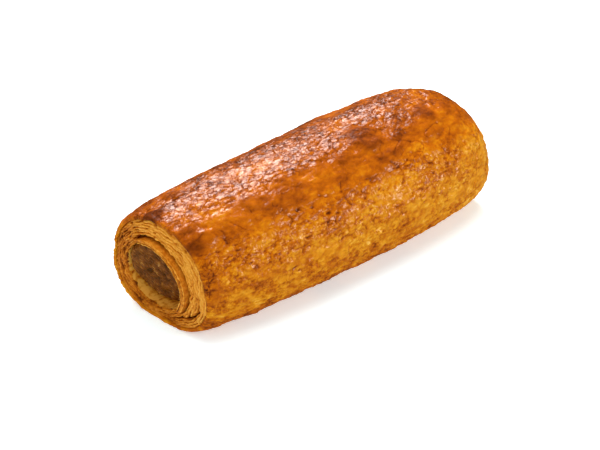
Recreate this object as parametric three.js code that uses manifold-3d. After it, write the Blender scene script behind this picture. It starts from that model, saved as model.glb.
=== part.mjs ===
// Sausage roll, millimetres, +Z up.
//
// A straight rod of sausage meat lies in a sheet of puff pastry that is rolled round it and laps over
// itself at the lower right. The roll was cut off a longer one on a slight slant, so both ends show the
// meat, set back a little, and the pastry's layers round it. The pastry has swollen in the oven: it is
// fullest at mid length and draws in towards both ends.
//
// +X runs along the roll, from the cut end that narrows slowly to the one that rounds over, and the
// origin is under its middle, on the surface that it rests on. Section angles are seen looking along +X:
// 0 points to the right (-Y), 90 degrees points up.

import * as THREE from "three";
import { mergeVertices } from "three/addons/utils/BufferGeometryUtils.js";
import Module from "manifold-3d";

const wasm = await Module();
wasm.setup();

// Overall size of the baked roll
const LENGTH = 124; // along its middle line
const WIDTH = 54.6; // at its fullest
const HEIGHT = 42.2; // at its fullest
const CUT_SLANT = -0.15; // x gained per millimetre of y: both ends are cut on the same slant

// How the pastry draws in towards its ends: share of the full size lost at the cut, and how far in it reaches
const NEAR_NARROWING = { share: 0.19, reach: 20 };
const NEAR_SINKING = { share: 0.085, reach: 17 };
const NEAR_EDGE = { share: 0.04, reach: 1.5 };
const FAR_NARROWING = { share: 0.3, reach: 10.3 };
const FAR_SINKING = { share: 0.17, reach: 7 };
const BOW = 1.5; // the ends lie this far to the +Y side of the middle

// Section of the roll: two half super-ellipses that meet at the widest level
const WIDEST_LEVEL = 0.41; // share of the height
const UPPER_POWER = 2.06;
const LOWER_POWER = 2.29;
const UNDERSIDE_OVERLAP = 1.04; // the lower half reaches this far down and is cut flat by the baking tray

// Waves along the top crust
const SWELLINGS = [
  { height: 0.4, length: 57, start: -13 },
  { height: 0.2, length: 27, start: 4 },
];

// Bore of the pastry, and the rod of meat in it
const BORE_CENTRE = { y: 4.1, z: 16.2 };
const BORE_HALF_WIDTH = 12.6;
const BORE_HALF_HEIGHT = 11.6;
const CLEARANCE = 0.3; // between the meat and the pastry
const MEAT_RECESS = 2.8; // how far the meat's end lies behind the cut, on average
const MEAT_TILT = 2.8; // the recess grows by this much towards MEAT_TILT_ANGLE and shrinks opposite
const MEAT_TILT_ANGLE = -50;

// Innermost leaf of the pastry: it stands proud of the cut round the top and the right
const LEAF_THICKNESS = 2;
const LEAF_PROUD = 1.6;
const LEAF_PROUD_ANGLE = 40;

// Slits between the turns of pastry, each a line through [angle, distance from the bore's wall]. The leaf's
// slit starts inside the bore, so the leaf ends free there; the lap's slit fades out into the wall.
const LEAF_SLIT = [
  [-52, -1.5],
  [-44, 1.2],
  [-32, 2.7],
  [0, 2.4],
  [118, 2.4],
];
const LAP_SLIT = [
  [-50, 3.8],
  [-32, 5.9],
  [-16, 7],
  [14, 6.6],
];
const SLIT_WIDTH = 0.9;

const AROUND = 72;
const BORE_AROUND = 48;
const STATIONS = 30;
const CROWDING = 0.75; // 0 spaces the stations evenly, 1 crowds them fully towards the cuts
const SLIT_STEPS = 14;
const BEYOND = 12; // how far cutting tools run past the ends

const radians = THREE.MathUtils.degToRad;

// A share that is full at the cut and fades with distance from it
const fading = ({ share, reach }, distance) => share * Math.exp(-distance / reach);

// Half width, height and sideways shift of the section that lies `along` millimetres from the near cut
function sectionAt(along) {
  const left = LENGTH - along;
  const narrowing = fading(NEAR_NARROWING, along) + fading(NEAR_EDGE, along) + fading(FAR_NARROWING, left);
  const sinking = fading(NEAR_SINKING, along) + fading(FAR_SINKING, left);
  const fromMiddle = (2 * along) / LENGTH - 1;
  return {
    halfWidth: (WIDTH / 2) * (1 - narrowing),
    height: HEIGHT * (1 - sinking),
    shift: BOW * fromMiddle * fromMiddle,
  };
}

// Shallow swellings of the top crust, which fade out towards its sides
function swelling(along, angle) {
  const wave = ({ height, length, start }) => height * Math.sin((2 * Math.PI * (along - start)) / length);
  const upward = Math.max(0, Math.sin(angle));
  return SWELLINGS.reduce((sum, each) => sum + wave(each), 0) * Math.sqrt(upward);
}

const signedPower = (value, power) => Math.sign(value) * Math.abs(value) ** power;

// A point of the crust
function crustPoint(along, angle) {
  const { halfWidth, height, shift } = sectionAt(along);
  const level = height * WIDEST_LEVEL;
  const upper = Math.sin(angle) > 0;
  const power = 2 / (upper ? UPPER_POWER : LOWER_POWER);
  const rise = upper ? height - level + swelling(along, angle) : level * UNDERSIDE_OVERLAP;
  const y = shift - halfWidth * signedPower(Math.cos(angle), power);
  const z = Math.max(0, level + rise * signedPower(Math.sin(angle), power));
  return new THREE.Vector3(along - LENGTH / 2 + CUT_SLANT * y, y, z);
}

// A point at a distance from the bore's wall, on the plane of a cut `along` millimetres from the near one
function borePoint(along, angle, offset) {
  const y = BORE_CENTRE.y - (BORE_HALF_WIDTH + offset) * Math.cos(angle);
  const z = BORE_CENTRE.z + (BORE_HALF_HEIGHT + offset) * Math.sin(angle);
  return new THREE.Vector3(along - LENGTH / 2 + CUT_SLANT * y, y, z);
}

const turn = (count) => Array.from({ length: count }, (_, i) => (2 * Math.PI * i) / count);

// Closed geometry through rings of points that run from -X to +X and turn from the right over the top
function loft(rings) {
  const count = rings[0].length;
  const middle = (ring) => ring.reduce((sum, p) => sum.add(p), new THREE.Vector3()).divideScalar(count);
  const points = [...rings.flat(), middle(rings[0]), middle(rings.at(-1))];
  const nearMiddle = rings.length * count;
  const index = [];
  for (let i = 0; i < count; i++) {
    const next = (i + 1) % count;
    const lastRing = (rings.length - 1) * count;
    index.push(nearMiddle, i, next);
    index.push(nearMiddle + 1, lastRing + next, lastRing + i);
    for (let r = 0; r < rings.length - 1; r++) {
      const [a, b] = [r * count + i, r * count + next];
      index.push(a, a + count, b, b, a + count, b + count);
    }
  }
  return new THREE.BufferGeometry().setFromPoints(points).setIndex(index);
}

// Middle line of a slit, in the plane of the section
function slitLine(route) {
  const turns = new THREE.SplineCurve(route.map(([angle, distance]) => new THREE.Vector2(angle, distance)));
  const line = turns.getSpacedPoints(SLIT_STEPS).map(({ x, y }) => {
    const point = borePoint(0, radians(x), y);
    return new THREE.Vector2(point.y, point.z);
  });
  return new THREE.SplineCurve(line);
}

// Band of even width along a route, extruded through the whole roll
function slitSolid(route) {
  const line = slitLine(route);
  const side = (sign) =>
    line.points.map((point, i) => {
      const along = line.getTangent(i / SLIT_STEPS);
      return new THREE.Vector2(-along.y, along.x).multiplyScalar((sign * SLIT_WIDTH) / 2).add(point);
    });
  const shape = new THREE.Shape([...side(-1), ...side(1).reverse()]);
  const depth = LENGTH + 2 * BEYOND;
  const geometry = new THREE.ExtrudeGeometry(shape, { depth, bevelEnabled: false, steps: 1 });
  const sectionToRoll = new THREE.Matrix4().makeBasis(
    new THREE.Vector3(0, 1, 0),
    new THREE.Vector3(0, 0, 1),
    new THREE.Vector3(1, 0, 0),
  );
  return solidFrom(geometry.applyMatrix4(sectionToRoll).translate(-depth / 2, 0, 0));
}

function solidFrom(geometry) {
  const bare = geometry.clone();
  bare.deleteAttribute("normal");
  bare.deleteAttribute("uv");
  const merged = mergeVertices(bare, 1e-4);
  return new wasm.Manifold(
    new wasm.Mesh({
      numProp: 3,
      vertProperties: merged.attributes.position.array,
      triVerts: new Uint32Array(merged.index.array),
    }),
  );
}

function geometryFrom(solid) {
  const { vertProperties, triVerts } = solid.getMesh();
  const geometry = new THREE.BufferGeometry();
  geometry.setAttribute("position", new THREE.BufferAttribute(new Float32Array(vertProperties), 3));
  geometry.setIndex(new THREE.BufferAttribute(new Uint32Array(triVerts), 1));
  geometry.computeVertexNormals();
  return geometry;
}

// Stations are close together near the cuts, where the crust rounds over
function stations(count) {
  return Array.from({ length: count }, (_, i) => {
    const share = i / (count - 1);
    return LENGTH * (share - (CROWDING * Math.sin(2 * Math.PI * share)) / (2 * Math.PI));
  });
}

function crustSolid() {
  return solidFrom(loft(stations(STATIONS).map((along) => turn(AROUND).map((a) => crustPoint(along, a)))));
}

// Tube of pastry that stands proud of both cuts on one side of the bore
function leafSolid() {
  const ring = (along, sign) =>
    turn(BORE_AROUND).map((angle) => {
      const proud = LEAF_PROUD * Math.max(0, Math.cos(angle - radians(LEAF_PROUD_ANGLE)));
      return borePoint(along + sign * proud, angle, LEAF_THICKNESS);
    });
  return solidFrom(loft([ring(0, -1), ring(LENGTH, 1)]));
}

function boreSolid() {
  const ring = (along) => turn(BORE_AROUND).map((angle) => borePoint(along, angle, 0));
  return solidFrom(loft([ring(-BEYOND), ring(LENGTH + BEYOND)]));
}

function pastrySolid() {
  return crustSolid()
    .add(leafSolid())
    .subtract(slitSolid(LEAF_SLIT))
    .subtract(slitSolid(LAP_SLIT))
    .subtract(boreSolid());
}

function meatSolid() {
  const end = (along, inward) =>
    turn(BORE_AROUND).map((angle) => {
      const recess = MEAT_RECESS + MEAT_TILT * Math.cos(angle - radians(MEAT_TILT_ANGLE));
      return borePoint(along + inward * recess, angle, -CLEARANCE);
    });
  return solidFrom(loft([end(0, 1), end(LENGTH, -1)]));
}

function part(name, solid, colour, roughness) {
  const material = new THREE.MeshStandardMaterial({ color: colour, roughness, metalness: 0 });
  const mesh = new THREE.Mesh(geometryFrom(solid), material);
  mesh.name = name;
  return mesh;
}

const sausageRoll = new THREE.Group();
sausageRoll.add(part("pastry", pastrySolid(), 0xc9771f, 0.45));
sausageRoll.add(part("sausage_meat", meatSolid(), 0x703e15, 0.6));

// The slant and the bow leave the box a little off centre, so the pieces are moved back over the origin
const centre = new THREE.Box3().setFromObject(sausageRoll).getCenter(new THREE.Vector3());
for (const mesh of sausageRoll.children) mesh.geometry.translate(-centre.x, -centre.y, 0);

export default sausageRoll;
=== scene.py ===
import math

import bmesh
import bpy
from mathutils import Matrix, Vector, noise


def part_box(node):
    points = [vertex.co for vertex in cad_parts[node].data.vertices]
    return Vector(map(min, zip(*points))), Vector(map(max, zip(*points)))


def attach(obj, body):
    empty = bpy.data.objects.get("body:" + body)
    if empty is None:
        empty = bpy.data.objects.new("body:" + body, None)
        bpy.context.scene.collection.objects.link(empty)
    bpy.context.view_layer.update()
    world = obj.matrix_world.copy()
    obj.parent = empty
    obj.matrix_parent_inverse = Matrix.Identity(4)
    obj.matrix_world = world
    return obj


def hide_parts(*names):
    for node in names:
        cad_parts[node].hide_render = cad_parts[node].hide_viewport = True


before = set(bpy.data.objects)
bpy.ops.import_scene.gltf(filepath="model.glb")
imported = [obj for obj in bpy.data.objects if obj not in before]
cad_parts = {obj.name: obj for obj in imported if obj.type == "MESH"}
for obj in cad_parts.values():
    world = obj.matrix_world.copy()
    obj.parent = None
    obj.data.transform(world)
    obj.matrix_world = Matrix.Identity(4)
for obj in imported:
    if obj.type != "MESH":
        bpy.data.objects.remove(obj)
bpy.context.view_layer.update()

# ---------------------------------------------------------------------------------------------------------
# Rolled pastry: a sheet of puff pastry, many thin leaves of dough with butter between them, rolled round the
# meat and baked. The butter's steam lifts the leaves apart, so each cut end shows rings of pale, crisp edges
# with dark slits between them. Everything is worked out in millimetres and made metres at the end.

LENGTH = 124.0
WIDTH = 54.6
HEIGHT = 42.2
CUT_SLANT = -0.15  # x gained per millimetre of y
WIDEST_LEVEL = 0.41  # as a share of the height
UPPER_POWER = 2.06  # of the half super-ellipse above that level, and of the one below
LOWER_POWER = 2.29
UNDERSIDE_OVERLAP = 1.04  # the lower half reaches this far down and is baked flat by the tray
BOW = 1.5  # the ends lie this far to the +Y side of the middle
# how the pastry draws in towards its ends: the share of its size lost at a cut, and how far in that reaches
NEAR_NARROWING = (0.19, 20)
NEAR_EDGE = (0.04, 1.5)
NEAR_SINKING = (0.085, 17)
FAR_NARROWING = (0.3, 10.3)
FAR_SINKING = (0.17, 7)
FORM_OFFSET = Vector((0.2, -0.1, 0))  # from the form's own middle to the middle of its box
TO_METRES = 0.001

meat_low, meat_high = (corner / TO_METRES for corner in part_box("sausage_meat"))
CLEARANCE = 0.3
BORE_MIDDLE = (meat_low + meat_high) / 2
BORE_HALF_WIDTH = (meat_high.y - meat_low.y) / 2 + CLEARANCE
BORE_HALF_HEIGHT = (meat_high.z - meat_low.z) / 2 + CLEARANCE


def eased(value, low, high):
    """0 below low, 1 above high, and a smooth rise between them."""
    share = min(1, max(0, (value - low) / (high - low)))
    return share * share * (3 - 2 * share)


def between(value, low, high, edge):
    """1 from low to high, fading out over an edge on either side."""
    return eased(value, low - edge, low) * (1 - eased(value, high, high + edge))


def degrees(turn):
    """A turn round the roll in degrees, from -90 underneath, past 0 at the right and 90 on top, to 270."""
    return (math.degrees(turn) + 90) % 360 - 90


def fading(drawing_in, distance):
    """A share that is full at the cut and fades with distance from it."""
    share, reach = drawing_in
    return share * math.exp(-distance / reach)


def section(along):
    """Half width, height and sideways shift of the roll, a distance in from its near cut."""
    left = LENGTH - along
    narrowing = fading(NEAR_NARROWING, along) + fading(NEAR_EDGE, along) + fading(FAR_NARROWING, left)
    sinking = fading(NEAR_SINKING, along) + fading(FAR_SINKING, left)
    shift = BOW * (2 * along / LENGTH - 1) ** 2
    return WIDTH / 2 * (1 - narrowing), HEIGHT * (1 - sinking), shift


def crust_point(along, turn, depth=0.0):
    """A point on the crust, or at a depth under it."""
    half_width, height, shift = section(max(0, min(LENGTH, along)))
    level = height * WIDEST_LEVEL
    side, rise = math.cos(turn), math.sin(turn)
    power = 2 / (UPPER_POWER if rise > 0 else LOWER_POWER)
    reach = (height - level if rise > 0 else level * UNDERSIDE_OVERLAP) - depth
    y = shift - (half_width - depth) * math.copysign(abs(side) ** power, side)
    z = max(depth, level + reach * math.copysign(abs(rise) ** power, rise))
    return Vector((along - LENGTH / 2 + CUT_SLANT * y, y, z)) + FORM_OFFSET


def bore_point(along, turn, offset=0.0):
    """A point at a distance from the wall of the bore that holds the meat."""
    y = BORE_MIDDLE.y - (BORE_HALF_WIDTH + offset) * math.cos(turn)
    z = BORE_MIDDLE.z + (BORE_HALF_HEIGHT + offset) * math.sin(turn)
    return Vector((along - LENGTH / 2 + CUT_SLANT * (y - FORM_OFFSET.y) + FORM_OFFSET.x, y, z))


def mottle(point, along_size, across_size, octaves=1):
    """Noise from -1 to 1 whose blotches are drawn out along the roll."""
    spot = Vector((point.x / along_size, point.y / across_size, point.z / across_size))
    return noise.fractal(spot, 1.0, 2.0, octaves) if octaves > 1 else noise.noise(spot)


def swell(point):
    """How far the baked pastry stands out of its even form, in broad waves."""
    return 0.5 * mottle(point, 19, 8, 2) + 0.25 * mottle(point, 6, 3.5, 2)


def rolled(name, columns, stations, traits, place):
    """A closed mesh from one flat grid. Its columns go round the roll and its rows go through the stations.

    place(station, turn) gives a corner's point and its traits, which materials read as attributes."""
    bm = bmesh.new()
    rows = len(stations) - 1
    bmesh.ops.create_grid(bm, x_segments=columns, y_segments=rows, size=0.5)
    layers = [bm.verts.layers.float.new(trait) for trait in traits]
    for corner in bm.verts:
        station = stations[round((corner.co.y + 0.5) * rows)]
        turn = round((corner.co.x + 0.5) * columns) / columns * 2 * math.pi
        point, values = place(station, turn)
        corner.co = point
        for layer, value in zip(layers, values):
            corner[layer] = value
    bmesh.ops.remove_doubles(bm, verts=bm.verts, dist=1e-4)
    bmesh.ops.recalc_face_normals(bm, faces=bm.faces)
    for face in bm.faces:
        face.smooth = True
    bmesh.ops.scale(bm, vec=Vector((1, 1, 1)) * TO_METRES, verts=bm.verts)
    mesh = bpy.data.meshes.new(name)
    bm.to_mesh(mesh)
    bm.free()
    piece = bpy.data.objects.new(name, mesh)
    bpy.context.scene.collection.objects.link(piece)
    return piece


LEAF_THICKNESS = 2.0
LEAF_START = -44  # degrees: the free end of the innermost leaf
LEAF_ROOT = 128  # where it joins the wall again
LEAVES = 9  # edges that show between the bore and the crust
RING_RADIUS = 18  # halfway through the wall, where lengths round the roll are measured
LAP = ((-50, 3.8), (-32, 5.9), (-16, 7.0), (14, 6.6))  # degrees, and millimetres out from the bore
CRUST_DEPTH = 0.9  # from the outside of the roll to the crumb
NEAR_SEED = 3.1  # the two cuts differ in the seeds of their noise
FAR_SEED = 8.6


def leaf_gap(angle):
    """How far the wall stands back from the bore, behind the free innermost leaf."""
    free = eased(angle, LEAF_START - 7, LEAF_START + 4) * (1 - eased(angle, LEAF_ROOT - 16, LEAF_ROOT + 6))
    opening = 0.35 + 0.45 * between(angle, 75, 112, 30)
    return free * (LEAF_THICKNESS + opening)


def lap_offset(angle):
    """Distance from the bore to the slit where the sheet laps over itself."""
    for (start, near), (end, far) in zip(LAP, LAP[1:]):
        if angle <= end:
            return near + (far - near) * max(0, angle - start) / (end - start)
    return LAP[-1][1]


def leaf_edges(angle, offset, wall, end):
    """How far a spot on a cut end stands out from the plane of the cut, and how brown it is with painted
    shade.
    """
    turn = math.radians(angle)
    ring = Vector((math.cos(turn), math.sin(turn), 0)) * RING_RADIUS
    # the spot's place among the leaves, which waver as they go round
    pitch = wall / LEAVES
    wave = 0.7 * noise.noise(ring / 8 + Vector((0, 0, end)))
    wave += 0.35 * noise.noise(ring / 2.6 + Vector((0, 0, end)))
    wave += 0.3 * noise.noise(Vector((ring.x / 1.6, ring.y / 1.6, offset / 1.5 + end)))
    count = offset / pitch + wave
    leaf = math.floor(count)
    # the slit to the next leaf, which gapes in places
    to_gap = min(count - leaf, leaf + 1 - count) * pitch
    gap_seed = Vector((0, 0, 4.7 * round(count) + end))
    open_here = max(0, noise.noise(ring / 4.5 + gap_seed * 1.7) + 0.12 - 0.2 * between(angle, 62, 130, 20))
    gap = math.exp(-((to_gap / (0.13 + 0.3 * open_here)) ** 2))
    # each leaf stands out by its own measure and is ragged, with holes where it tore
    leaf_seed = Vector((0, 0, 3.1 * leaf + end))
    thin = noise.noise(Vector((ring.x / 2.2, ring.y / 2.2, offset / 0.42 + end)))
    grain = noise.fractal(Vector((ring.x / 0.9, ring.y / 0.9, offset / 0.7 + end)), 0.9, 2.1, 2)
    hole_spot = Vector((ring.x / 1.9, ring.y / 1.9, offset / 0.75 + end))
    hole = eased(noise.noise(hole_spot), 0.3, 0.62) * (0.35 + 0.65 * between(angle, 55, 215, 20))
    out = 0.45 * noise.noise(ring / 5 + leaf_seed) + 0.22 * noise.noise(ring / 1.2 + leaf_seed)
    out += 0.2 * thin + 0.2 * grain
    out -= gap * (0.3 + 1.5 * open_here) + 0.9 * hole
    # the open slit of the lap
    lap = abs(offset - lap_offset(angle) - 0.3 * noise.noise(ring / 2))
    lap_share = math.exp(-((lap / 0.36) ** 2)) * eased(angle, -58, -50) * (1 - 0.85 * eased(angle, -25, 14))
    lap_share *= 1 - eased(angle, 14, 30)
    out -= 2.4 * lap_share
    # ridges are painted pale, and slits, holes and the lap's slit painted dark, as light and shade; the left
    # side is browner than the right
    side = between(angle, 140, 240, 30)
    brown_and_shade = 0.2 + 0.18 * side + 0.1 * (1 - eased(angle, -60, -25))
    brown_and_shade += gap * (0.12 + 0.75 * open_here) + 0.42 * hole + 0.6 * lap_share
    brown_and_shade -= 0.14 * thin + 0.12 * grain + 0.1 * noise.noise(ring / 3 + leaf_seed)
    return out, brown_and_shade


CRUMB_COLUMNS = 320
FACE_STEPS = 56
UNDER_CRUST_STEPS = 40
BORE_STEP = 0.3  # between rows of the bore's wall near the cuts, where it shows
BORE_STEPS = 24
near_face = [(0.0, step / FACE_STEPS) for step in range(FACE_STEPS + 1)]
far_face = [(LENGTH, step / FACE_STEPS) for step in reversed(range(FACE_STEPS + 1))]
under_crust = [(LENGTH * step / UNDER_CRUST_STEPS, 1.0) for step in range(1, UNDER_CRUST_STEPS)]
bore_depths = [BORE_STEP * step for step in range(1, BORE_STEPS)] + [9.0, 12.0, 30.0]
bore_wall = [(LENGTH - depth, 0.0) for depth in bore_depths]
bore_wall += [(depth, 0.0) for depth in reversed(bore_depths)]
crumb_stations = near_face + under_crust + far_face + bore_wall + near_face[:1]


def place_crumb(station, turn):
    """A station is a distance from the near cut, and a share of the way from the bore out to the crust."""
    along, share = station
    angle = degrees(turn)
    inner = bore_point(along, turn, leaf_gap(angle))
    form = crust_point(along, turn)
    outer = crust_point(along, turn, CRUST_DEPTH - swell(form))
    point = inner.lerp(outer, share)
    base = bore_point(along, turn)
    wall = (outer - base).length
    offset = (point - base).length
    outward = -1 if along < LENGTH / 2 else 1
    depth = min(along, LENGTH - along)
    end = NEAR_SEED if outward < 0 else FAR_SEED
    out, brown_and_shade = leaf_edges(angle, offset, wall, end)
    # the wall sinks behind the free leaf, and a painted shadow darkens that groove
    behind_leaf = min(1, leaf_gap(angle)) * (1 - eased(offset - leaf_gap(angle), 0.1, 0.45))
    out -= 0.5 * behind_leaf
    brown_and_shade += 0.4 * behind_leaf
    # the leaves' relief fades a little way into the bore, and both edges of the cut are rounded
    if share < 1 or depth == 0:
        rounded = 0.6 * eased(share, 0.88, 1) + 0.3 * (1 - eased(share, 0, 0.06))
        point.x += outward * (out - rounded) * math.exp(-depth / 0.8)
    # the bore's wall is porous, with painted shade deep inside and behind the free leaf
    if share == 0:
        pores = mottle(point, 1.5, 1.1, 3)
        away = (inner - BORE_MIDDLE).normalized()
        point += away * Vector((0, 1, 1)) * (0.22 * pores + 0.2 * mottle(point, 4, 3))
        wall_brown_and_shade = -0.03 - 0.4 * pores + 0.2 * mottle(point, 3, 3) + 0.35 * eased(depth, 2.5, 6)
        wall_brown_and_shade += 0.5 * eased(mottle(point, 2, 1.4), 0.2, 0.5)
        wall_brown_and_shade += leaf_gap(angle) / 5 * eased(depth, 0.2, 1.5)
        brown_and_shade += (wall_brown_and_shade - brown_and_shade) * eased(depth, 0, 0.9)
    return point, (brown_and_shade,)


crumb = rolled("pastry_layers", CRUMB_COLUMNS, crumb_stations, ("bake_and_shade",), place_crumb)


def linear(code):
    """A colour for a socket from its sRGB hex code."""
    channels = (int(code[i:i + 2], 16) / 255 for i in (1, 3, 5))
    return (*(c / 12.92 if c <= 0.04045 else ((c + 0.055) / 1.055) ** 2.4 for c in channels), 1.0)


def add(tree, kind, inputs=None, stops=None, **settings):
    """Adds a node. Its inputs take values or nodes' outputs, and a ramp's stops come in rising order."""
    new = tree.nodes.new(kind)
    for name, value in settings.items():
        setattr(new, name, value)
    for name, value in (inputs or {}).items():
        if isinstance(value, bpy.types.NodeSocket):
            tree.links.new(value, new.inputs[name])
        else:
            new.inputs[name].default_value = value
    for i, (place, colour) in enumerate(stops or ()):
        stop = new.color_ramp.elements[i] if i < 2 else new.color_ramp.elements.new(place)
        stop.position = place
        stop.color = linear(colour)
    return new


def per_metre(millimetres):
    """The scale that makes a pattern repeat at this size on coordinates in metres."""
    return 1 / (millimetres * TO_METRES)


def new_material(name):
    """An empty material and its node tree."""
    made = bpy.data.materials.new(name)
    made.use_nodes = True
    made.node_tree.nodes.clear()
    return made, made.node_tree


# Cut puff pastry: dry, crisp edges of dough that scatter light, pale gold where thin, with painted shade in
# the slits.
layer_finish, tree = new_material("cut_puff_pastry")
spot = add(tree, "ShaderNodeTexCoord").outputs["Object"]
bake_and_shade = add(tree, "ShaderNodeAttribute", attribute_name="bake_and_shade").outputs["Fac"]
speckle = add(
    tree,
    "ShaderNodeTexNoise",
    {"Vector": spot, "Scale": per_metre(0.9), "Detail": 4.0, "Roughness": 0.65},
).outputs["Fac"]
speckled = add(
    tree,
    "ShaderNodeMapRange",
    {"Value": speckle, "From Min": 0.3, "From Max": 0.7, "To Min": -0.12, "To Max": 0.12},
).outputs["Result"]
browned_and_shaded = add(tree, "ShaderNodeMath", {0: bake_and_shade, 1: speckled}, operation="ADD").outputs["Value"]
colour = add(
    tree,
    "ShaderNodeValToRGB",
    {"Fac": browned_and_shaded},
    stops=(
        (0.0, "#F5B348"),
        (0.2, "#E3952B"),
        (0.4, "#CC7512"),
        (0.6, "#A85606"),
        (0.8, "#743603"),
        (1.0, "#4A2002"),
    ),
).outputs["Color"]
fine = add(
    tree,
    "ShaderNodeTexNoise",
    {"Vector": spot, "Scale": per_metre(0.45), "Detail": 3.0},
).outputs["Fac"]
bump = add(tree, "ShaderNodeBump", {"Height": fine, "Strength": 0.6, "Distance": 0.00015})
shader = add(
    tree,
    "ShaderNodeBsdfPrincipled",
    {
        "Base Color": colour,
        "Roughness": 0.6,
        "IOR": 1.45,
        "Specular IOR Level": 0.15,
        "Normal": bump.outputs["Normal"],
    },
)
add(tree, "ShaderNodeOutputMaterial", {"Surface": shader.outputs["BSDF"]})

crumb.data.materials.append(layer_finish)
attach(crumb, "root")
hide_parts("pastry")

# ---------------------------------------------------------------------------------------------------------
# Innermost leaf: the start of the sheet, which wraps over the meat from a free, rounded end at its lower
# right and joins the wall past the top. It shrank less than the rest, so it stands proud of both cuts.

LEAF_PROUD = 1.6  # at most, beyond the cut
LEAF_PROUD_ANGLE = 40
LEAF_PLAY = 0.1  # thinner than the gap that the wall leaves for it
LEAF_COLUMNS = 200
LEAF_ROWS = 44
EDGE_STEPS = 24

leaf_inner = [(step / LEAF_ROWS, 0.0) for step in range(LEAF_ROWS + 1)]
leaf_far_edge = [(1.0, step / EDGE_STEPS) for step in range(1, EDGE_STEPS)]
leaf_outer = [(step / LEAF_ROWS, 1.0) for step in reversed(range(LEAF_ROWS + 1))]
leaf_near_edge = [(0.0, step / EDGE_STEPS) for step in reversed(range(1, EDGE_STEPS))]
leaf_stations = leaf_inner + leaf_far_edge + leaf_outer + leaf_near_edge + leaf_inner[:1]


def place_leaf(station, turn):
    """A station is a share of the way along the leaf, and one through it, from its inside out."""
    share, through = station
    spread = turn / (2 * math.pi)
    angle = LEAF_START + (LEAF_ROOT + 10 - LEAF_START) * spread
    turn = math.radians(angle)
    proud = LEAF_PROUD * max(0, math.cos(turn - math.radians(LEAF_PROUD_ANGLE))) ** 0.7
    proud += 0.25 * noise.noise(Vector((angle / 9, 0, 2.0)))
    # rounded at its free end, thinner where it joins the wall, and shut to an edge at both
    tip = math.sqrt(max(0, 1 - (1 - min(1, spread / 0.05)) ** 2))
    root = 1 - 0.75 * eased(spread, 0.8, 1)
    thickness = (LEAF_THICKNESS - LEAF_PLAY) * tip * root * (1 if spread < 1 else 0)
    thickness *= 1 + 0.14 * noise.noise(Vector((share * 30, angle / 12, 5.0)))
    curl = 0.35 * (1 - eased(spread, 0, 0.08))
    sink = 0.9 * eased(spread, 0.85, 1)
    offset = 0.05 + curl + sink + (LEAF_THICKNESS - LEAF_PLAY) * (1 - tip) / 2 + thickness * through
    # rows crowd towards the ends, where the leaf's edge bends round
    crowded = share - math.sin(2 * math.pi * share) / (2 * math.pi) * 0.97
    along = crowded * (LENGTH + 2 * proud) - proud
    # at a cut its edge bulges, with two creases where thinner leaves within it part
    crease = 0.0
    if share in (0.0, 1.0):
        bulge = math.sin(math.pi * through) ** 0.6 * 0.4
        valley = 0.36 + 0.1 * noise.noise(Vector((angle / 7, share * 9, 1.0)))
        second = 0.74 + 0.1 * noise.noise(Vector((angle / 5, share * 9, 4.0)))
        crease = 0.6 * math.exp(-(((through - valley) / 0.09) ** 2))
        crease += 0.35 * math.exp(-(((through - second) / 0.07) ** 2)) * eased(math.sin(turn * 3), -0.6, 0.3)
        crease += 0.12 * noise.noise(Vector((angle / 2.5, through * 7, share * 9)))
        fullness = min(1, thickness / 0.8)
        along += (bulge - crease) * fullness * (1 if share == 1.0 else -1)
    point = bore_point(along, turn, offset)
    ripple = 0.16 * mottle(point, 2.4, 1.2) + 0.1 * mottle(point, 1, 0.8)
    point += (point - Vector((point.x, BORE_MIDDLE.y, BORE_MIDDLE.z))).normalized() * ripple
    depth = min(along, LENGTH - along)
    # pale along both lips of that edge, with painted shade in the creases and deeper inside the roll
    lip = math.exp(-((through / 0.22) ** 2)) + 0.5 * math.exp(-(((1 - through) / 0.1) ** 2))
    brown_and_shade = 0.36 - 0.4 * lip + 1.0 * max(0, crease) + 0.9 * ripple
    brown_and_shade += 0.12 * noise.noise(Vector((angle / 5, through * 3, share * 7)))
    brown_and_shade += 0.45 * eased(depth, 0.3, 3.5)
    if through == 1.0:
        brown_and_shade += 0.2
    return point, (brown_and_shade,)


leaf = rolled("inner_leaf", LEAF_COLUMNS, leaf_stations, ("bake_and_shade",), place_leaf)
leaf.data.materials.append(layer_finish)
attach(leaf, "root")
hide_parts("pastry")

# ---------------------------------------------------------------------------------------------------------
# Crust: the outermost leaf, brushed with egg and baked crisp. The egg dried to a glossy amber skin over the
# top, which crazed into small plates as the pastry rose; the sides stayed a paler, flaky gold. It is made in
# two lengths that meet edge to edge at the middle, so that each holds plates of a millimetre.

CRUST_THICKNESS = 1.15
CRUST_COLUMNS = 404
CRUST_ROWS = 222  # of the outside of each length
CRUST_INSIDE_ROWS = 8
CRUST_EDGE_ROWS = 4
CROWDING = 0.3  # of the columns, towards the top
BLISTERS = (  # degrees round, millimetres along, radius, height, browning; the last four only shine
    (75.5, 77.5, 6.6, 0.9, 0.16),
    (73, 104, 4.2, 0.4, 0.16),
    (70, 64, 3.4, 0.3, 0.07),
    (70, 113, 3.0, 0.3, 0.07),
    (52, 2, 3.6, 0.2, 0.14),
    (100, 1.5, 4.0, 0.2, 0.5),
    (47, 17, 4.5, 0.3, 0.05),
    (118, 36, 4.5, 0.4, 0.1),
    (112, 14, 4.0, 0.4, 0.09),
    (142, 84, 5.5, 0.6, 0.13),
    (152, 30, 5.0, 0.5, 0.1),
    (56, 6, 4.0, 0.8, 0.03),
    (67, 26, 3.4, 0.5, 0.0),
    (67, 55, 3.6, 0.5, 0.0),
    (70, 67, 2.6, 0.4, 0.0),
)
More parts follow.
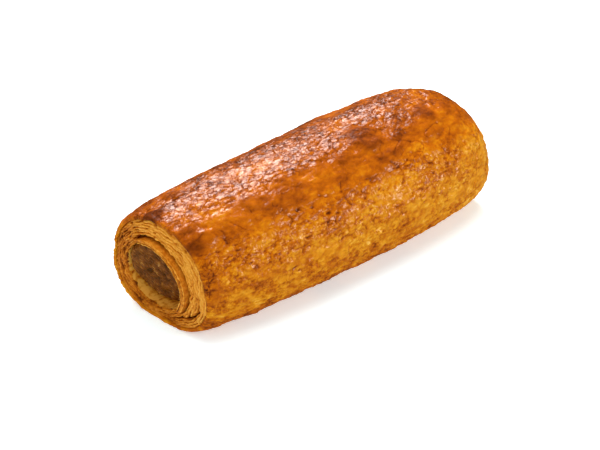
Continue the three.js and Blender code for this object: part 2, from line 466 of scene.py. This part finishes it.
PITS = (  # degrees round, millimetres along, radius round the roll, depth
    (36, 47, 0.9, 0.5),
    (44, 43, 0.7, 0.4),
    (47, 38, 0.8, 0.4),
    (25, 37, 0.8, 0.4),
    (33, 50, 0.6, 0.4),
    (-4, 73, 0.6, 0.5),
    (34, 98, 0.7, 0.3),
    (20, 58, 0.5, 0.3),
    (28, 91, 0.6, 0.3),
)
PIT_SHORTENING = 0.7  # of distances along the roll: pits are drawn out that way
SPOT_REACH = 1.6  # radii from its middle within which a blister or a pit shows
MM_PER_DEGREE = 0.42


def blisters_at(angle, along, form):
    """How far blisters lift a spot, the share of it that they cover, and how dull and brown they make it."""
    lift = cover = dull = browning = 0.0
    for spot_angle, spot_along, radius, height, browner in BLISTERS:
        away = math.hypot((angle - spot_angle) * MM_PER_DEGREE, along - spot_along) / radius
        if away < SPOT_REACH:
            away += 0.16 * mottle(form, 3, 3)
            share = 1 - eased(away, 0.45, 1.1)
            lift += height * share
            cover = max(cover, share)
            dull = max(dull, (1 - eased(away, 0.7, 1.3)) * min(1, browner / 0.12))
            browning += browner * (1 - eased(away, 0.4, 1.1))
    return lift, cover, dull, browning


def pits_at(angle, along, form):
    """How deep burst bubbles sink a spot, and the share of it that they cover."""
    depth = cover = 0.0
    for spot_angle, spot_along, radius, fall in PITS:
        lengthwise = (along - spot_along) * PIT_SHORTENING
        away = math.hypot((angle - spot_angle) * MM_PER_DEGREE, lengthwise) / radius
        if away < SPOT_REACH:
            away += 0.35 * mottle(form, 1.2, 1.2)
            share = 1 - eased(away, 0.2, 1.1)
            depth += fall * share
            cover = max(cover, share)
    return depth, cover


def plates(point, along_size, round_size, seed):
    """On a skin crazed into plates: distance from a crack, how a plate leans, and its tone."""
    spot = Vector((point.x / along_size + seed, point.y / round_size, point.z / round_size))
    spot += 0.3 * Vector((noise.noise(spot * 1.6), noise.noise(spot * 1.6 + Vector((9, 4, 2))), 0))
    (near, second, *_), (middle, *_) = noise.voronoi(spot)
    tone = noise.cell_vector(middle * 9.0) - Vector((0.5, 0.5, 0.5))
    return second - near, tone.dot(spot - middle), tone.z


def place_crust(station, turn):
    """A station is a distance from the near cut, and a depth into the crust."""
    along, depth = station
    turn += CROWDING * math.cos(turn)
    angle = degrees(turn)
    form = crust_point(along, turn)
    left = LENGTH - along

    # bands along the roll, with wandering edges: egg over the top, pale flakes on the sides, then the base
    zone = angle + 7 * mottle(form, 15, 12) + 3 * mottle(form, 4, 4)
    top = between(zone, 80, 122, 22)
    egg = between(zone, 58, 100, 20) * 0.65 + between(zone, 58, 150, 20) * 0.35
    flaky = between(zone, -30, 36, 20) + between(zone, 162, 205, 20)
    pale = between(zone, 12, 36, 22) + between(zone, 162, 186, 20)
    patchy = eased(mottle(form, 8, 5, 2), -0.5, 0.15)
    crisp = 0.3 + 0.7 * max(between(zone, 80, 112, 14), flaky * patchy)
    under = 1 - eased(angle, -62, -38) + eased(angle, 228, 250)

    lift, blister, dull, browning = blisters_at(angle, along, form)
    pit_depth, pitted = pits_at(angle, along, form)

    # relief: plates that lean between cracks, veins where a flake ends, crumpling, and ledges of the leaves
    wide, wide_lean, wide_tone = plates(form, 3.1, 2.1, 0)
    small, small_lean, small_tone = plates(form, 1.45, 1.05, 40)
    wide_crack = math.exp(-((wide / 0.16) ** 2))
    small_crack = math.exp(-((small / 0.2) ** 2)) * crisp
    vein = math.exp(-((mottle(form, 8, 5, 2) / 0.05) ** 2)) * eased(mottle(form, 6, 6, 1), -0.05, 0.2)
    vein *= between(zone, 8, 56, 12) + between(zone, 140, 200, 12)
    crumpled = mottle(form, 1.2, 0.8, 3)
    crease = abs(mottle(form, 2.6, 1.5, 2))
    streak = abs(mottle(form, 7, 1.4, 2))
    lively = (1 - 0.7 * under) * (1 - 0.5 * blister)
    fine = (0.25 + 0.2 * top + 0.25 * flaky) * wide_lean + 0.35 * flaky * small_lean
    fine -= (0.03 + 0.05 * top + 0.05 * flaky) * wide_crack + 0.04 * flaky * small_crack + 0.2 * vein
    fine += (0.05 + 0.12 * flaky * patchy) * crumpled
    fine -= (0.12 + 0.14 * flaky) * (crease - 0.2)
    fine -= 0.45 * (streak - 0.2) * between(zone, 106, 150, 14)
    ledge = math.sin(2 * math.pi * (form.z / 1.7 + 0.9 * mottle(form, 12, 5)))
    fine += 0.16 * ledge * between(angle, -36, -12, 8)
    relief = swell(form) * (1 - 0.8 * under) + max(-0.75, lift + fine * lively - pit_depth)

    # browning: most under the egg, on blisters and in cracks, low at the right and by the near cut, with
    # painted shade in creases and hollows
    glaze = between(zone, 56, 140, 24)
    blotches = 0.14 * mottle(form, 13, 8, 2) + 0.15 * mottle(form, 3.4, 2.4, 2)
    bake_and_shade = 0.35 + 0.16 * glaze - 0.06 * pale + 0.1 * swell(form) + blotches * (1 - 0.6 * blister)
    bake_and_shade -= 0.1 * eased(along, 96, 122) * (1 - 0.5 * glaze)
    # the band behind the top is browner, and darker along its sunk streaks as painted shade
    bake_and_shade += 0.12 * between(zone, 106, 150, 14) * (0.5 + streak)
    bake_and_shade += 0.12 * between(angle, -70, -26, 16) * (1 - 0.7 * eased(along, 45, 95)) + 0.06 * under
    bake_and_shade += 0.03 * between(angle, 38, 56, 6) - 0.06 * between(angle, -24, 2, 12)
    bake_and_shade += 0.13 * mottle(form, 5, 1.7, 2) * between(zone, -50, 8, 12) + browning + 0.3 * pitted + 0.2 * vein
    bake_and_shade += (0.03 + 0.06 * top + 0.06 * flaky) * wide_crack + 0.08 * small_crack
    # painted light and shade: paler where the crumpling rises, darker in its hollows and in the creases
    bake_and_shade -= (0.04 + 0.14 * flaky * patchy) * crumpled - (0.08 + 0.12 * flaky) * (crease - 0.2)
    bake_and_shade += 0.05 * (small_tone + wide_tone) * crisp
    bake_and_shade += 0.03 + 0.06 * (1 - eased(along, 25, 80)) * between(angle, -30, 30, 15)
    bake_and_shade += 0.14 * (1 - eased(along, 1, 7)) * between(angle, 5, 60, 15)
    bake_and_shade += 0.07 * eased(along, 45, 70) * between(angle, 60, 88, 10)
    bake_and_shade -= 0.07 * (1 - between(angle, 5, 112, 12)) * (1 - eased(min(along, left), 0.0, 1.6))

    # the edge at a cut draws in and is ragged
    rim = 0.25 * (1 - eased(along, 0, 2.2)) * between(angle, 40, 130, 25)
    share = depth / CRUST_THICKNESS
    point = crust_point(along, turn, depth - relief * (1 - 0.6 * share) - rim)
    point.z = max(point.z, 0.0)
    bend = 0.12 * math.sin(math.pi * share) + 0.3 * mottle(form, 4, 2.5) + 0.25 * mottle(form, 1.2, 1)
    if min(along, left) < 0.2:
        point.x += bend * (1 if along > LENGTH / 2 else -1)

    # the film of egg: thin on the flakes, except where one lies flat, and broken at cracks and blisters
    glints = eased(mottle(form, 2.2, 1.5, 2), -0.2, 0.4)
    glints *= between(zone, -5, 36, 14) + between(zone, 165, 190, 14)
    film = (egg + 0.2 * pale + 0.7 * glints) * (1 - 0.6 * under)
    film *= (1 - 0.6 * wide_crack) * (1 - 0.9 * dull) * eased(min(along, left), 0.3, 2.5)
    return point, (min(bake_and_shade, 0.9), film, crisp * (1 - 0.6 * under) * (1 - 0.6 * dull))


def crust_stations(start, end):
    """Stations of one length of crust: along its outside, down one end, back inside it and up the other."""
    run = [start + (end - start) * step / CRUST_ROWS for step in range(CRUST_ROWS + 1)]
    outside = [(along, 0.0) for along in run]
    coarse = [start + (end - start) * step / CRUST_INSIDE_ROWS for step in range(CRUST_INSIDE_ROWS + 1)]
    inside = [(along, CRUST_THICKNESS) for along in reversed(coarse)]
    depths = [CRUST_THICKNESS * step / CRUST_EDGE_ROWS for step in range(1, CRUST_EDGE_ROWS)]
    down = [(end, depth) for depth in depths]
    up = [(start, depth) for depth in reversed(depths)]
    return outside + down + inside + up + outside[:1]


PLATE_SIZE = 1.5
PLATE_WAVER = 3.0  # how far noise moves the plates' edges, at most
PLATE_LEAN = 0.19  # a plate slopes by up to half of this along each axis

# Egg-washed puff pastry: browned dough under a thin, clear film of dried egg, glossy where it is thick.
crust_finish, tree = new_material("egg_washed_puff_pastry")
# Its three attributes say how brown the crust is, with painted shade in its hollows, how thick the film lies
# on it, and how crazed it is.
spot = add(tree, "ShaderNodeTexCoord").outputs["Object"]
bake_and_shade = add(tree, "ShaderNodeAttribute", attribute_name="bake_and_shade").outputs["Fac"]
egg = add(tree, "ShaderNodeAttribute", attribute_name="egg").outputs["Fac"]
crisp = add(tree, "ShaderNodeAttribute", attribute_name="crisp").outputs["Fac"]
drawn_out = add(tree, "ShaderNodeMapping", {"Vector": spot, "Scale": (0.6, 1, 1)}).outputs["Vector"]
speckle = add(
    tree,
    "ShaderNodeTexNoise",
    {"Vector": drawn_out, "Scale": per_metre(1.3), "Detail": 3.0, "Roughness": 0.6},
).outputs["Fac"]
speckle_depth = add(
    tree,
    "ShaderNodeMapRange",
    {"Value": crisp, "To Min": 0.2, "To Max": 0.42},
).outputs["Result"]
centred = add(tree, "ShaderNodeMath", {0: speckle, 1: 0.5}, operation="SUBTRACT").outputs["Value"]
mottled = add(
    tree,
    "ShaderNodeMath",
    {0: centred, 1: speckle_depth, 2: bake_and_shade},
    operation="MULTIPLY_ADD",
).outputs["Value"]
# the dried egg is crazed into plates, with dark lines between them
waver = add(
    tree,
    "ShaderNodeTexNoise",
    {"Vector": spot, "Scale": per_metre(2.4), "Detail": 3.0},
).outputs["Color"]
wavy = add(
    tree,
    "ShaderNodeVectorMath",
    {0: waver, 1: Vector((1, 1, 1)) * PLATE_WAVER * TO_METRES, 2: drawn_out},
    operation="MULTIPLY_ADD",
).outputs["Vector"]
to_craze = add(
    tree,
    "ShaderNodeTexVoronoi",
    {"Vector": wavy, "Scale": per_metre(PLATE_SIZE)},
    feature="DISTANCE_TO_EDGE",
).outputs["Distance"]
craze = add(
    tree,
    "ShaderNodeMapRange",
    {"Value": to_craze, "From Min": 0.0, "From Max": 0.1, "To Min": 0.17, "To Max": 0.0},
).outputs["Result"]
browned_and_shaded = add(
    tree,
    "ShaderNodeMath",
    {0: craze, 1: crisp, 2: mottled},
    operation="MULTIPLY_ADD",
).outputs["Value"]
colour = add(
    tree,
    "ShaderNodeValToRGB",
    {"Fac": browned_and_shaded},
    stops=(
        (0.0, "#F4BA50"),
        (0.22, "#E0941A"),
        (0.42, "#CC7706"),
        (0.56, "#BA5F02"),
        (0.72, "#9C4902"),
        (0.86, "#763302"),
        (1.0, "#4A1C02"),
    ),
).outputs["Color"]
# each plate leans a little its own way: it rises with distance from its middle towards one side
plate = add(
    tree,
    "ShaderNodeTexVoronoi",
    {"Vector": wavy, "Scale": per_metre(PLATE_SIZE)},
    feature="F1",
).outputs
lean = add(
    tree,
    "ShaderNodeVectorMath",
    {0: plate["Color"], 1: (0.5, 0.5, 0.5)},
    operation="SUBTRACT",
).outputs["Vector"]
from_middle = add(
    tree,
    "ShaderNodeVectorMath",
    {0: wavy, 1: plate["Position"]},
    operation="SUBTRACT",
).outputs["Vector"]
leaning = add(
    tree,
    "ShaderNodeVectorMath",
    {0: lean, 1: from_middle},
    operation="DOT_PRODUCT",
).outputs["Value"]
leant = add(tree, "ShaderNodeMath", {0: leaning, 1: crisp}, operation="MULTIPLY").outputs["Value"]
tilt = add(
    tree,
    "ShaderNodeBump",
    {"Height": leant, "Strength": 1.0, "Distance": PLATE_LEAN},
).outputs["Normal"]
fine = add(
    tree,
    "ShaderNodeTexNoise",
    {"Vector": spot, "Scale": per_metre(0.5), "Detail": 3.0, "Roughness": 0.6},
).outputs["Fac"]
sunk = add(tree, "ShaderNodeMath", {0: craze, 1: -2.0, 2: fine}, operation="MULTIPLY_ADD").outputs["Value"]
bump = add(
    tree,
    "ShaderNodeBump",
    {"Height": sunk, "Strength": 0.35, "Distance": 0.0002, "Normal": tilt},
).outputs["Normal"]
# the film is missing from the lines of the crazing
film = add(tree, "ShaderNodeMapRange", {"Value": egg, "To Min": 0.06, "To Max": 1.0}).outputs["Result"]
gloss = add(
    tree,
    "ShaderNodeMath",
    {0: craze, 1: -4.0, 2: film},
    operation="MULTIPLY_ADD",
    use_clamp=True,
).outputs["Value"]
shader = add(
    tree,
    "ShaderNodeBsdfPrincipled",
    {
        "Base Color": colour,
        "Roughness": 0.6,
        "IOR": 1.45,
        "Specular IOR Level": 0.06,
        "Normal": bump,
        "Coat Weight": gloss,
        "Coat Roughness": 0.1,
        "Coat IOR": 1.5,
        "Coat Normal": bump,
    },
)
add(tree, "ShaderNodeOutputMaterial", {"Surface": shader.outputs["BSDF"]})

for name, start, end in (("crust_near_length", 0.0, LENGTH / 2), ("crust_far_length", LENGTH / 2, LENGTH)):
    crust = rolled(name, CRUST_COLUMNS, crust_stations(start, end), ("bake_and_shade", "egg", "crisp"), place_crust)
    crust.data.materials.append(crust_finish)
    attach(crust, "root")
    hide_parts("pastry")

# ---------------------------------------------------------------------------------------------------------
# Sausage meat: coarse minced pork, cooked to a brown, moist rod that drew back a little behind both cuts,
# most at its lower right.

MEAT_RECESS = 2.8  # how far its ends lie behind the cuts, on average
MEAT_TILT = 2.8  # more than that at MEAT_TILT_TURN, and less opposite
MEAT_TILT_TURN = math.radians(-50)
MEAT_COLUMNS = 220
MEAT_RINGS = 60
MEAT_ROWS = 20

meat_face = [step / MEAT_RINGS for step in range(MEAT_RINGS + 1)]
meat_stations = [(0.0, share) for share in meat_face]
meat_stations += [(step / MEAT_ROWS, 1.0) for step in range(1, MEAT_ROWS)]
meat_stations += [(1.0, share) for share in reversed(meat_face)]


def place_meat(station, turn):
    """A station is a share of the way along the rod, and one of the way out from its middle line."""
    share, out = station
    wall = bore_point(0, turn, -CLEARANCE)
    recess = MEAT_RECESS + MEAT_TILT * out * math.cos(turn - MEAT_TILT_TURN)
    along = recess + share * (LENGTH - 2 * recess)
    y = BORE_MIDDLE.y + out * (wall.y - BORE_MIDDLE.y)
    z = BORE_MIDDLE.z + out * (wall.z - BORE_MIDDLE.z)
    point = Vector((along - LENGTH / 2 + CUT_SLANT * (y - FORM_OFFSET.y) + FORM_OFFSET.x, y, z))
    lumps = noise.fractal(point / 2.3, 0.8, 2.1, 3)
    fibres = noise.noise(Vector((share * 9, (y + z) / 2.6, (y - z) / 0.7)))
    crumbs = noise.noise(point / 0.7)
    relief = 0.55 * lumps + 0.28 * fibres + 0.12 * crumbs - 0.3 * max(0, abs(lumps) - 0.5)
    rounding = 0.9 * eased(out, 0.86, 1) ** 2
    if share in (0.0, 1.0):
        point.x += (relief - rounding) * (1 if share == 1.0 else -1)
    return point, (0.5 + 0.4 * lumps + 0.3 * fibres + 0.2 * crumbs,)


meat = rolled("cooked_sausage_meat", MEAT_COLUMNS, meat_stations, ("lumps",), place_meat)

# Cooked minced pork: brown, close-grained and a little moist, with paler bits of fat through it.
meat_finish, tree = new_material("cooked_minced_pork")
spot = add(tree, "ShaderNodeTexCoord").outputs["Object"]
lumps = add(tree, "ShaderNodeAttribute", attribute_name="lumps").outputs["Fac"]
speckle = add(
    tree,
    "ShaderNodeTexNoise",
    {"Vector": spot, "Scale": per_metre(1.1), "Detail": 5.0, "Roughness": 0.7},
).outputs["Fac"]
mixed = add(tree, "ShaderNodeMath", {0: speckle, 1: lumps}, operation="ADD").outputs["Value"]
halved = add(tree, "ShaderNodeMath", {0: mixed, 1: 0.5}, operation="MULTIPLY").outputs["Value"]
colour = add(
    tree,
    "ShaderNodeValToRGB",
    {"Fac": halved},
    stops=(
        (0.25, "#4A2803"),
        (0.45, "#6E3A04"),
        (0.6, "#84480A"),
        (0.69, "#A06518"),
        (0.8, "#C89050"),
    ),
).outputs["Color"]
fine = add(
    tree,
    "ShaderNodeTexNoise",
    {"Vector": spot, "Scale": per_metre(0.6), "Detail": 3.0},
).outputs["Fac"]
bump = add(tree, "ShaderNodeBump", {"Height": fine, "Strength": 0.6, "Distance": 0.0002})
shader = add(
    tree,
    "ShaderNodeBsdfPrincipled",
    {
        "Base Color": colour,
        "Roughness": 0.4,
        "IOR": 1.45,
        "Specular IOR Level": 0.25,
        "Normal": bump.outputs["Normal"],
    },
)
add(tree, "ShaderNodeOutputMaterial", {"Surface": shader.outputs["BSDF"]})

meat.data.materials.append(meat_finish)
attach(meat, "root")
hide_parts("sausage_meat")

# ---------------------------------------------------------------------------------------------------------
# Studio: white paper, a camera above the cut end, and soft lights. Two of them, behind the roll and to its
# right, only show as highlights in its gloss. The rest, behind, above, left and right, only light it.

FLOOR_HALF_WIDTH = 3.0
FLOOR_DROP = 0.00005  # below the roll's base, so that the two don't share a plane

bm = bmesh.new()
bmesh.ops.create_grid(bm, x_segments=1, y_segments=1, size=FLOOR_HALF_WIDTH)
floor_mesh = bpy.data.meshes.new("studio_floor")
bm.to_mesh(floor_mesh)
bm.free()
floor = bpy.data.objects.new("studio_floor", floor_mesh)
floor.location.z = -FLOOR_DROP
bpy.context.scene.collection.objects.link(floor)

# White paper, cooled a little against the orange that the roll casts on it, and overexposed.
floor_finish, tree = new_material("white_paper")
shader = add(
    tree,
    "ShaderNodeBsdfPrincipled",
    {
        "Base Color": (0.76, 0.92, 0.94, 1),
        "Roughness": 0.9,
        "Emission Color": (1.0, 1.0, 1.0, 1),
        "Emission Strength": 0.42,
    },
)
add(tree, "ShaderNodeOutputMaterial", {"Surface": shader.outputs["BSDF"]})
floor.data.materials.append(floor_finish)
floor.visible_glossy = False

world = bpy.data.worlds.new("white_room")
bpy.context.scene.world = world
world.use_nodes = True
world.node_tree.nodes["Background"].inputs["Color"].default_value = (1.0, 1.0, 1.0, 1)
world.node_tree.nodes["Background"].inputs["Strength"].default_value = 0.2
world.cycles_visibility.glossy = False


def softbox(name, azimuth, elevation, distance, size, watts, mirrored):
    """A soft light that faces the roll. It is either mirrored in the roll's gloss or lights the roll.

    Azimuth 0 is in front, on the -Y side, and turns towards +X. Distance and size are in metres."""
    lamp = bpy.data.lights.new(name, "AREA")
    lamp.shape = "RECTANGLE"
    lamp.size, lamp.size_y = size
    lamp.energy = watts
    holder = bpy.data.objects.new(name, lamp)
    a, e = math.radians(azimuth), math.radians(elevation)
    back = Vector((math.sin(a) * math.cos(e), -math.cos(a) * math.cos(e), math.sin(e)))
    holder.location = back * distance
    holder.rotation_euler = back.to_track_quat("Z", "Y").to_euler()
    holder.visible_glossy = mirrored
    holder.visible_diffuse = not mirrored
    bpy.context.scene.collection.objects.link(holder)


# azimuth and elevation in degrees, distance, size, watts
softbox("back_gloss", 149, 44, 0.7, (0.27, 0.5), 4.2, mirrored=True)
softbox("side_gloss", 30, 18, 1.0, (0.5, 0.36), 5.5, mirrored=True)
softbox("back_softbox", 154, 46, 0.7, (0.36, 0.36), 4.6, mirrored=False)
softbox("top_softbox", -40, 86, 1.0, (0.6, 0.6), 5.6, mirrored=False)
softbox("left_fill", -75, 40, 1.0, (0.6, 0.6), 2.6, mirrored=False)
softbox("right_fill", 38, 28, 1.0, (0.4, 0.3), 3.2, mirrored=False)

CAMERA_AZIMUTH = math.radians(-40.1)
CAMERA_ELEVATION = math.radians(35)
CAMERA_DISTANCE = 0.7
LOOK_AT = Vector((-0.0119, -0.0081, 0.020))
back = Vector(
    (
        math.sin(CAMERA_AZIMUTH) * math.cos(CAMERA_ELEVATION),
        -math.cos(CAMERA_AZIMUTH) * math.cos(CAMERA_ELEVATION),
        math.sin(CAMERA_ELEVATION),
    )
)
camera = bpy.data.objects.new("camera", bpy.data.cameras.new("camera"))
camera.data.sensor_width = 36
camera.data.lens = 128.7
camera.location = LOOK_AT + back * CAMERA_DISTANCE
camera.rotation_euler = back.to_track_quat("Z", "Y").to_euler()
bpy.context.scene.collection.objects.link(camera)
bpy.context.scene.camera = camera

bpy.context.scene.view_settings.view_transform = "Standard"
